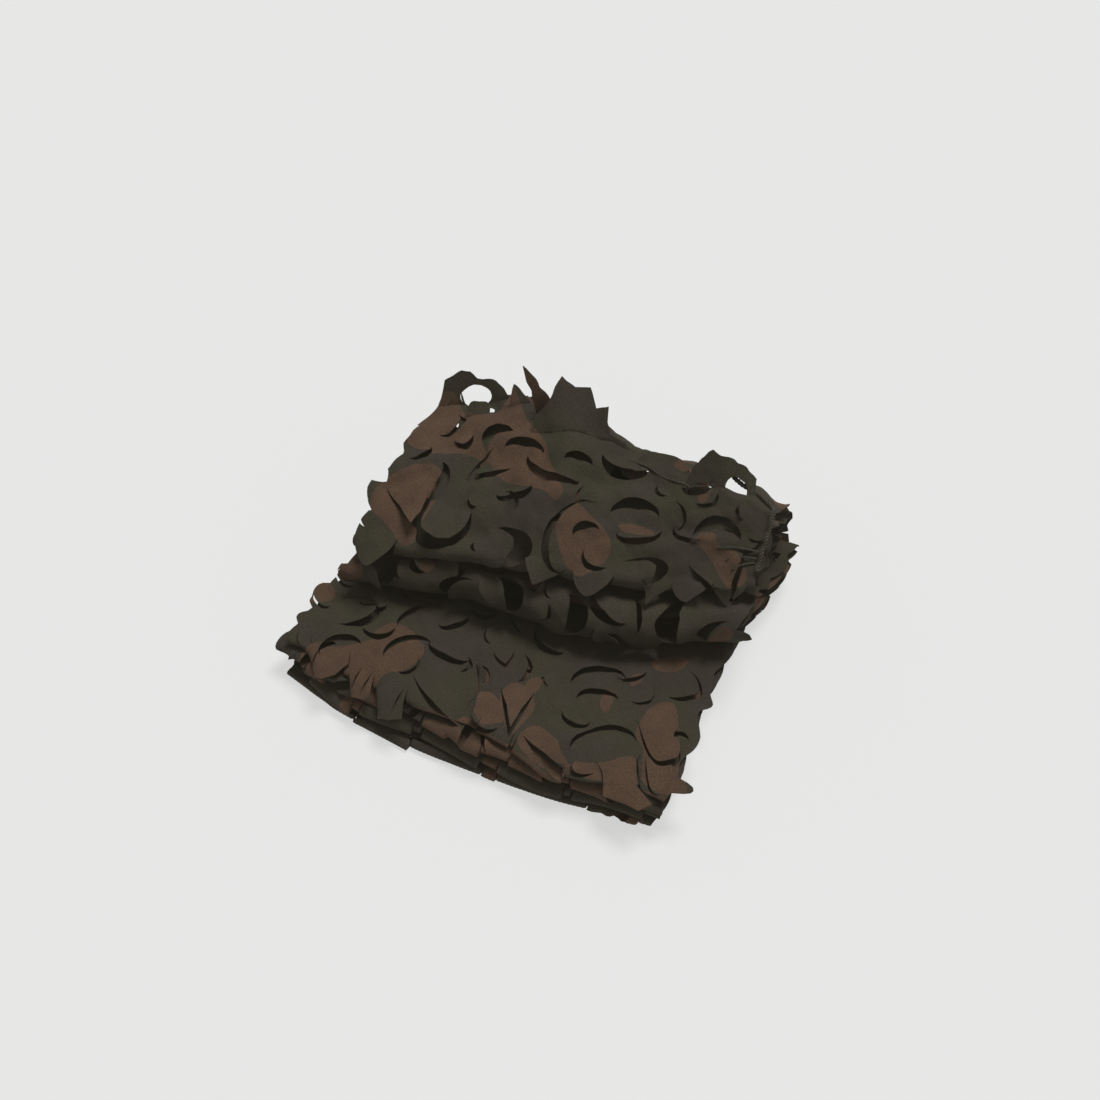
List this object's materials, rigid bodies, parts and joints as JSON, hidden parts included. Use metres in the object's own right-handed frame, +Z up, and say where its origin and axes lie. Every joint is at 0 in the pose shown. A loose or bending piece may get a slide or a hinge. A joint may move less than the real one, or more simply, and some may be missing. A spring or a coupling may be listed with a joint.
{
  "type": "folded camouflage net",
  "caption": "Two-tone garnish cloth with crescent cuts and lifted leaf-shaped tongues, folded into a flat pack with a roll and a raised crown, and its border rope.",
  "frame": {"origin": "on the ground under the middle of the pack, on the underside of the lowest ply", "axes": "+X along the front folds from left to right, +Y from the front folds to the back, +Z up from the ground to the crest"},
  "size_m": [0.4257, 0.4122, 0.2077],
  "materials": {
    "garnish": "matt printed cloth, dark olive with brown patches",
    "cord": "twisted olive cord"
  },
  "bodies": {
    "root": {"garnish_cloth": "garnish", "border_rope": "cord", "net_cord_crest": "cord", "net_cord_gather_top": "cord", "net_cord_gather_middle": "cord", "net_cord_gather_low": "cord"}
  },
  "joints": []
}
